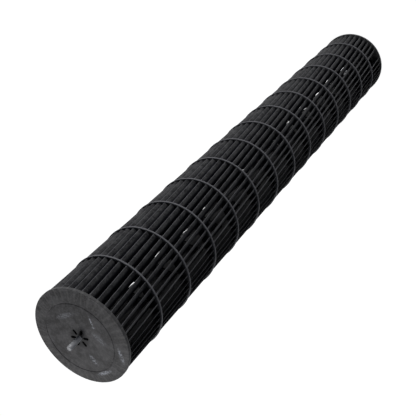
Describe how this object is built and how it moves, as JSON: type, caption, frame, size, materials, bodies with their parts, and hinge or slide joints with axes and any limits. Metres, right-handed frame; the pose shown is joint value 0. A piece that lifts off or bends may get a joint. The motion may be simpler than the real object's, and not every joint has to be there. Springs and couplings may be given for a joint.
{
  "type": "cross flow fan",
  "caption": "Long cylindrical cross flow fan wheel: welded rings of curved skewed blades between two end discs, a steel stub shaft at one end and a rubber-mounted motor hub at the other.",
  "frame": {"origin": "centre of the motor end disc's outer face, on which the wheel stands", "axes": "+Z along the axis of rotation towards the stub shaft, +X through the screw access gap of the last blade section"},
  "size_m": [0.1, 0.1, 0.776],
  "materials": {
    "black_resin": "moulded glass-filled resin, satin",
    "bush_rubber": "plain",
    "insert_alloy": "turned",
    "screw_steel": "dark oxide",
    "shaft_steel": "ground"
  },
  "bodies": {
    "root": {"shaft_end_section": "black_resin", "blade_section_02": "black_resin", "blade_section_03": "black_resin", "blade_section_04": "black_resin", "blade_section_05": "black_resin", "blade_section_06": "black_resin", "blade_section_07": "black_resin", "blade_section_08": "black_resin", "blade_section_09": "black_resin", "blade_section_10": "black_resin", "blade_section_11": "black_resin", "blade_section_12": "black_resin", "blade_section_13": "black_resin", "blade_section_14": "black_resin", "motor_end_disc": "black_resin", "rubber_bush": "bush_rubber", "hub_insert": "insert_alloy", "set_screw": "screw_steel", "stub_shaft": "shaft_steel"}
  },
  "joints": []
}
